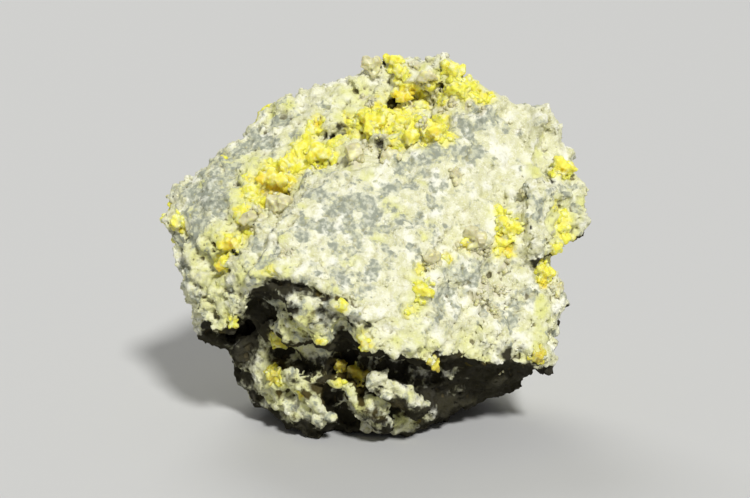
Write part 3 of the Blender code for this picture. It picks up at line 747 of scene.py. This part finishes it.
# Painted shade: small pits darkened to yellowish brown.
pit = group(nodes, ragged, Field=nodes.field("pit"), Level=0.5, Ragged=0.8, Soft=0.4, Per_Metre=900.0)
colour = nodes.mix(nodes.math("MULTIPLY", pit.outputs[0], 0.4), colour, PIT_SHADE)
# Painted shade: near-black, or brown where the crust is lemon, over the skin where the shade field is high;
# the stone is also less glossy there.
shade_mask = group(nodes, ragged, Field=nodes.field("dark"), Level=0.5, Ragged=1.3, Soft=0.3, Per_Metre=380.0)
shade_colour = nodes.mix(nodes.step(nodes.field("lemon"), 0.5, 0.85), SHADE_BLACK, SHADE_BROWN)
colour = nodes.mix(nodes.math("MULTIPLY", shade_mask.outputs[0], 0.97), colour, shade_colour)
# Painted shade: the skin's hollows darkened, amber-brown where they are yellow.
hollow_shade = group(nodes, ragged, Field=nodes.field("hollow"), Level=0.62, Ragged=0.7, Soft=0.3, Per_Metre=600.0)
hollow_shade_colour = nodes.mix(yellow_mask.outputs[0], CREVICE_SHADE, AMBER_HOLLOW_SHADE)
colour = nodes.mix(nodes.math("MULTIPLY", hollow_shade.outputs[0], 0.8), colour, hollow_shade_colour)
nodes.connect(colour, surface["Base Color"])
nodes.connect(nodes.math("MULTIPLY_ADD", bare_mask.outputs[0], -0.22, 0.9), surface["Roughness"])
nodes.connect(nodes.math("MULTIPLY_ADD", shade_mask.outputs[0], -0.24, 0.28), surface["Specular IOR Level"])
add_grit(nodes, surface, per_metre=1100.0, strength=0.48, distance=0.0008)

block = add_piece("limestone_block", mesh, limestone)
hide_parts("matrix")

# ---- Sulfur clumps ---------------------------------------------------------------------------------------
# Native sulfur grew in the open band and pockets as blunt dipyramids that run into each other, bright yellow
# and amber where they are thick. Amber is also painted as shade into their hollows, and dark brown-olive as
# shade onto the clumps below the ledge. Each clump is one solid, rooted where the CAD clump stands.
CLUMP_VOXEL = 0.36


def convex_template(corners):
    """The corners and triangles of a convex solid."""
    bm = bmesh.new()
    bmesh.ops.convex_hull(bm, input=[bm.verts.new(c) for c in corners])
    bmesh.ops.triangulate(bm, faces=bm.faces)
    bm.verts.index_update()
    made = np.array([v.co for v in bm.verts]), np.array([[v.index for v in f.verts] for f in bm.faces])
    bm.free()
    return made


def dipyramid(wide, deep, tip):
    """Corners of a crystal with a rhomb round its middle and both tips broken off at that height."""
    rhomb = [(wide, 0), (0, deep), (-wide, 0), (0, -deep)]
    levels = ((-tip, 1 - tip), (0, 1), (tip, 1 - tip))
    return [(x * share, y * share, height) for height, share in levels for x, y in rhomb]


def turns(chance, outward, lean):
    """For each outward direction, axes of a crystal that leans from it at random and is turned at random."""
    axis = outward + chance.normal(0, lean, outward.shape)
    axis /= np.linalg.norm(axis, axis=1)[:, None]
    side = np.cross(axis, chance.normal(0, 1, axis.shape))
    side /= np.linalg.norm(side, axis=1)[:, None]
    return np.stack([side, np.cross(axis, side), axis], axis=1)


def scattered(chance, template, places, outward, sizes, lean, jitter):
    """Many copies of a small solid as one array of corners and one of triangles, each with its own turn,
    size and slightly moved corners."""
    corners, faces = template
    count = len(places)
    shaped = corners[None] * (1 + chance.normal(0, jitter, (count, len(corners), 3)))
    shaped = np.einsum("nci,nij->ncj", shaped * sizes[:, None, None], turns(chance, outward, lean))
    shaped += places[:, None]
    all_faces = faces[None] + (np.arange(count) * len(corners))[:, None, None]
    return shaped.reshape(-1, 3), all_faces.reshape(-1, 3)


def mesh_of(corners, faces):
    """A mesh of corners in millimetres."""
    mesh = bpy.data.meshes.new("solid")
    mesh.from_pydata((corners * MM).tolist(), [], faces.tolist())
    return mesh


skin_points, skin_out = coords(block.data) / MM, normals(block.data)
skin_tree = KDTree(len(skin_points))
for i, p in enumerate(skin_points):
    skin_tree.insert(p, i)
skin_tree.balance()
skin = {name: values[near] for name, values in fields.items()}
DIPYRAMID = convex_template(dipyramid(0.66, 0.8, 0.6))


def clump(name, template, size, crowd, voxel, bud, rounds):
    """The crystals of a CAD clump and smaller ones at its foot, melted into one solid with buds on it."""
    chance = np.random.default_rng(sum(map(ord, name)) * 7919 + len(name))
    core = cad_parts[name].data
    low, high = (np.array(corner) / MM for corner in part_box(name))
    middle, reach = (low + high) / 2, (high - low).max() / 2 + 0.6 * size
    ring = [i for _, i, _ in skin_tree.find_range(middle, reach)] or [skin_tree.find(middle)[1]]
    chosen = chance.choice(ring, min(crowd, len(ring)), replace=False)
    sizes = size * chance.uniform(0.35, 1.0, len(chosen))
    places = skin_points[chosen] + skin_out[chosen] * sizes[:, None] * 0.3
    small = mesh_of(*scattered(chance, template, places, skin_out[chosen], sizes, lean=0.35, jitter=0.12))
    mesh = applied(welded(core, small), voxels(voxel))
    points = coords(mesh) / MM
    wave = 0.42 * bud * (0.45 - cells(points, bud)) + 0.15 * bud * fractal(points, 0.8 * bud, 2)
    mesh = applied(pushed(mesh, wave), ("SMOOTH", {"factor": 0.5, "iterations": rounds}))
    mesh = outer_skin(mesh)
    near = [skin_tree.find(p)[1] for p in coords(mesh) / MM]
    # Painted shade: clumps below the ledge get a shade value of at least 0.72 for the sulfur material.
    below_ledge = smoothstep(75, 60, points[:, 2].mean())
    store(mesh, {"amber": skin["amber"][near], "dark": below_ledge * np.maximum(skin["dark"][near], 0.72),
                 "hollow": smoothstep(0.05, 0.6, hollowness(mesh, 8))})
    mesh.shade_smooth()
    return mesh


sulfur, nodes, surface = new_material("sulfur")
patchy = nodes.step(group(nodes, speckle, Per_Metre=330.0, Detail=3.0).outputs[0], -0.1, 0.2)
colour = nodes.mix(patchy, SULFUR_YELLOW, SULFUR_PALE)
# Amber where the listed amber patches are, and amber as painted shade in the clump's hollows.
thick = group(nodes, ragged, Field=nodes.field("amber"), Level=0.6, Ragged=0.9, Soft=0.6, Per_Metre=350.0)
sunk = nodes.math("MAXIMUM", thick.outputs[0], nodes.math("MULTIPLY", nodes.field("hollow"), 0.8))
colour = nodes.mix(sunk, colour, SULFUR_AMBER)
powder = nodes.step(group(nodes, speckle, Per_Metre=330.0, Detail=5.0).outputs[0], -0.02, 0.16)
# Painted shade: where the shade value is high, the sulfur loses its bloom and turns dark brown-olive.
shaded = nodes.math("MULTIPLY", nodes.step(nodes.field("dark"), 0.5, 0.95), 0.8)
powdered = nodes.math("MULTIPLY_ADD", shaded, -0.6, 0.6)
colour = nodes.mix(nodes.math("MULTIPLY", powder, powdered), colour, SULFUR_BLOOM)
colour = nodes.mix(shaded, colour, SULFUR_SHADE)
nodes.connect(colour, surface["Base Color"])
rough = nodes.step(group(nodes, speckle, Per_Metre=900.0, Detail=2.0).outputs[0], -0.15, 0.15)
nodes.connect(nodes.math("MULTIPLY_ADD", rough, 0.3, 0.36), surface["Roughness"])
add_grit(nodes, surface, per_metre=1300.0, strength=0.3, distance=0.0004)
set_values(surface, {
    "IOR": 1.98, "Specular IOR Level": 0.25, "Subsurface Weight": 0.8, "Subsurface Radius": (1.0, 0.85, 0.25),
    "Subsurface Scale": 0.003})

for name in crystal_nodes:
    if name.startswith("sulfur_"):
        low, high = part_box(name)
        breadth = (high - low).length / MM
        mesh = clump(name, DIPYRAMID, size=1.7, crowd=int(breadth * 5), voxel=CLUMP_VOXEL, bud=2.3, rounds=7)
        piece = add_piece(name.replace("sulfur", "brimstone"), mesh, sulfur)
        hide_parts(name)

# ---- Calcite grains --------------------------------------------------------------------------------------
# Calcite grew between the sulfur as cloudy, beige, rounded rhombohedra with a glassy skin. Each clump or
# single grain is one solid, rooted where the CAD grain stands.
GRAIN_VOXEL = 0.4
CALCITE_DULL = (0.57, 0.53, 0.31)
CALCITE_CLOUDY = (0.78, 0.75, 0.48)
CALCITE_SHADE = (0.48, 0.40, 0.22)


def rhombohedron(width, tip):
    """Its corners, with both tips cut back by that share."""
    corners = []
    for side, turn in ((1, 0), (-1, math.pi / 3)):
        for height, radius in ((1 / 3, width), (tip + (1 - tip) / 3, width * (1 - tip))):
            angles = [turn + i * math.tau / 3 for i in range(3)]
            corners += [(radius * math.cos(a), radius * math.sin(a), side * height) for a in angles]
    return corners


RHOMB = convex_template(rhombohedron(0.86, 0.5))

calcite, nodes, surface = new_material("calcite")
cloudy = nodes.step(group(nodes, speckle, Per_Metre=240.0, Detail=4.0).outputs[0], -0.12, 0.14)
colour = nodes.mix(cloudy, CALCITE_DULL, CALCITE_CLOUDY)
# Painted shade: darker beige in hollows.
sunk = nodes.math("MULTIPLY", nodes.field("hollow"), 0.4)
colour = nodes.mix(sunk, colour, CALCITE_SHADE)
dust = nodes.step(group(nodes, speckle, Per_Metre=420.0, Detail=4.0).outputs[0], 0.02, 0.16)
colour = nodes.mix(nodes.math("MULTIPLY", dust, 0.5), colour, SULFUR_PALE)
nodes.connect(colour, surface["Base Color"])
rough = nodes.step(group(nodes, speckle, Per_Metre=700.0, Detail=2.0).outputs[0], -0.15, 0.15)
nodes.connect(nodes.math("MULTIPLY_ADD", rough, 0.25, 0.3), surface["Roughness"])
add_grit(nodes, surface, per_metre=800.0, strength=0.2, distance=0.0004)
set_values(surface, {
    "IOR": 1.6, "Specular IOR Level": 0.35, "Transmission Weight": 0.04, "Subsurface Weight": 0.5,
    "Subsurface Radius": (1.0, 0.85, 0.6), "Subsurface Scale": 0.002})

for name in crystal_nodes:
    if name.startswith("calcite_"):
        mesh = clump(name, RHOMB, size=2.2, crowd=9, voxel=GRAIN_VOXEL, bud=3.2, rounds=9)
        piece = add_piece(name.replace("calcite", "spar"), mesh, calcite)
        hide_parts(name)

# ---- Druse, small grains and crust crumbs ----------------------------------------------------------------
# Between the clumps the rock is paved with crystals of a millimetre or less, of sulfur where it is yellow and
# of calcite where it is beige, and its cream crust is strewn with crumbs. Each kind is one joined mesh.
DRUSE_VOXEL = 0.48
DRUSE_TRIANGLES = 190000
OFF_THE_GROUND = 2.0  # nothing is strewn lower than this, in millimetres
ICOSAHEDRON = convex_template([
    corner for a in (-1, 1) for b in (-0.618, 0.618) for corner in ((a, b, 0), (0, a, b), (b, 0, a))])


def strewn(seed, weight, count, template, sizes, stand, flat):
    """Small solids over the block's skin, more where the weight is high. Stand is how far their middles stand
    out and flat how high they are, both as a share of their radius."""
    chance = np.random.default_rng(seed)
    share = np.clip(weight, 0, None) * (skin_points[:, 2] > OFF_THE_GROUND)
    chosen = chance.choice(len(weight), count, replace=False, p=share / share.sum())
    own = sizes[0] + (sizes[1] - sizes[0]) * chance.uniform(0, 1, count) ** 2
    places = skin_points[chosen] + skin_out[chosen] * (own * stand)[:, None]
    corners, faces = template
    squashed = (corners * (1, 1, flat), faces)
    made = mesh_of(*scattered(chance, squashed, places, skin_out[chosen], own, lean=0.6, jitter=0.16))
    per_solid = np.repeat(chosen, len(corners))
    store(made, {name: values[per_solid] for name, values in skin.items()})
    made.shade_smooth()
    return made


stone_skin = smoothstep(-0.1, 0.1, skin["bare"])
crust_skin = ((1 - stone_skin) * (1 - skin["brimstone"]) + 0.06) * (1.1 - skin["dark"])
crumbs = strewn(1, crust_skin, 4500, ICOSAHEDRON, sizes=(0.25, 0.85), stand=-0.22, flat=0.5)
add_piece("crust_crumbs", crumbs, limestone)
druse = strewn(2, skin["brimstone"] - 0.3, 4600, ICOSAHEDRON, sizes=(0.4, 1.3), stand=-0.1, flat=0.8)
druse = applied(druse, voxels(DRUSE_VOXEL), ("SMOOTH", {"factor": 0.5, "iterations": 3}))
druse_share = min(1, DRUSE_TRIANGLES / (2 * len(druse.polygons)))
druse = applied(druse, ("DECIMATE", {"ratio": druse_share}))
near = [skin_tree.find(p)[1] for p in coords(druse) / MM]
store(druse, {name: values[near] for name, values in skin.items()})
store(druse, {"hollow": smoothstep(0.05, 0.6, hollowness(druse, 8))})
druse.shade_smooth()
add_piece("sulfur_druse", druse, sulfur)
grains = strewn(3, skin["beige"] - 0.45, 420, RHOMB, sizes=(0.7, 1.9), stand=0.05, flat=0.8)
add_piece("calcite_grains", grains, calcite)

# ---- Floor and light -------------------------------------------------------------------------------------
# The block stands on a pale paper sweep. A large soft lamp is high in front and a little to the right, a
# weaker and broader one is high behind, and the pale room fills the shadows.
FLOOR_HALF = 20.0
PAPER = (0.60, 0.60, 0.585, 1)
ROOM = (0.93, 0.93, 0.93, 1)
ROOM_LIGHT = 0.22


def sunlight(name, energy, width, direction):
    """A distant lamp, as wide in the sky as that many degrees, shining in that direction."""
    sun = bpy.data.objects.new(name, bpy.data.lights.new(name, "SUN"))
    sun.data.energy = energy
    sun.data.angle = math.radians(width)
    sun.rotation_euler = Vector(direction).to_track_quat("-Z", "Y").to_euler()
    scene.collection.objects.link(sun)


floor = bpy.data.objects.new("floor", bpy.data.meshes.new("floor"))
corners = [(x * FLOOR_HALF, y * FLOOR_HALF, 0) for x, y in ((-1, -1), (1, -1), (1, 1), (-1, 1))]
floor.data.from_pydata(corners, [], [(0, 1, 2, 3)])
scene.collection.objects.link(floor)
paper, nodes, surface = new_material("paper")
set_values(surface, {"Base Color": PAPER, "Roughness": 0.9})
floor.data.materials.append(paper)

sunlight("key", 3.08, 8, (-0.22, 0.75, -0.66))
sunlight("back", 0.9, 30, (0.25, -0.75, -0.80))
world = bpy.data.worlds.new("room")
scene.world = world
world.use_nodes = True
set_values(world.node_tree.nodes["Background"].inputs, {"Color": ROOM, "Strength": ROOM_LIGHT})
scene.view_settings.view_transform = "Standard"
